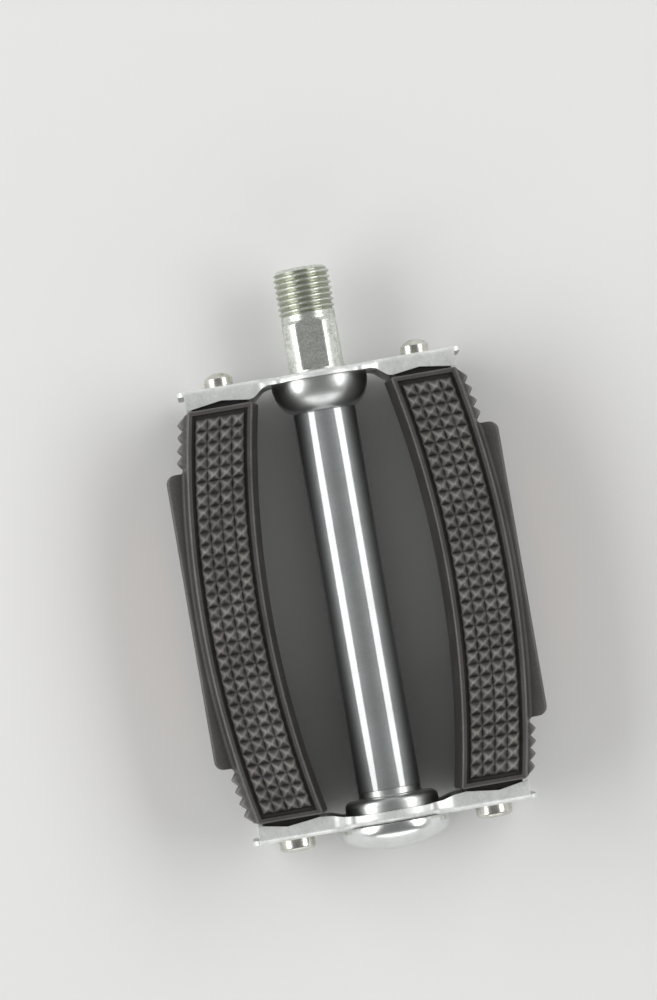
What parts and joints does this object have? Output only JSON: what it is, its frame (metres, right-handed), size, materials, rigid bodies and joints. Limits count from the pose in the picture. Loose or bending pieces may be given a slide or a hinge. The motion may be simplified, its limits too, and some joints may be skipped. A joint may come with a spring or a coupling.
{
  "type": "bicycle pedal",
  "caption": "Bicycle pedal with studded rubber tread blocks in a folded steel cage, turning on ball bearings round a spindle with a crank thread.",
  "frame": {"origin": "on the spindle axis, at the inner end of the crank thread", "axes": "+Y along the spindle towards the crank, +Z out of one tread face, +X towards the front block"},
  "size_m": [0.074, 0.1299, 0.0262],
  "materials": {
    "zinc_sheet": "bright zinc plate",
    "zinc_spindle": "zinc plate with a faint yellow-green tint",
    "chrome": "polished chrome",
    "bearing_steel": "polished steel",
    "tread_rubber": "matt moulded rubber",
    "amber_lens": "clear amber prism lens",
    "shell_plastic": "plain moulded plastic"
  },
  "bodies": {
    "spindle_set": {"spindle": "zinc_spindle", "inner_dust_shield": "zinc_sheet", "outer_cone": "bearing_steel", "lock_washer": "zinc_sheet", "lock_nut": "zinc_sheet"},
    "cage": {"inner_plate": "zinc_sheet", "outer_plate": "zinc_sheet", "centre_tube": "chrome", "inner_cup": "chrome", "outer_cup": "chrome", "dust_cap": "zinc_sheet", "front_block": "tread_rubber", "rear_block": "tread_rubber", "front_bolt": "zinc_sheet", "rear_bolt": "zinc_sheet", "front_nut": "zinc_sheet", "rear_nut": "zinc_sheet", "front_reflector_shell": "shell_plastic", "rear_reflector_shell": "shell_plastic", "front_reflector_lens": "amber_lens", "rear_reflector_lens": "amber_lens"},
    "inner_ball_set": {"inner_balls": "bearing_steel"},
    "outer_ball_set": {"outer_balls": "bearing_steel"}
  },
  "joints": [
    {"name": "pedal_spin", "type": "hinge", "parent": "spindle_set", "child": "cage", "pos_m": [0, 0, 0], "axis": [0, 1, 0], "continuous": true},
    {"name": "inner_ball_roll", "type": "hinge", "parent": "spindle_set", "child": "inner_ball_set", "pos_m": [0, 0, 0], "axis": [0, 1, 0], "continuous": true},
    {"name": "outer_ball_roll", "type": "hinge", "parent": "spindle_set", "child": "outer_ball_set", "pos_m": [0, 0, 0], "axis": [0, 1, 0], "continuous": true}
  ],
  "couplings": [
    {"joint": "inner_ball_roll", "follows": "pedal_spin", "ratio": 0.597},
    {"joint": "outer_ball_roll", "follows": "pedal_spin", "ratio": 0.606}
  ]
}
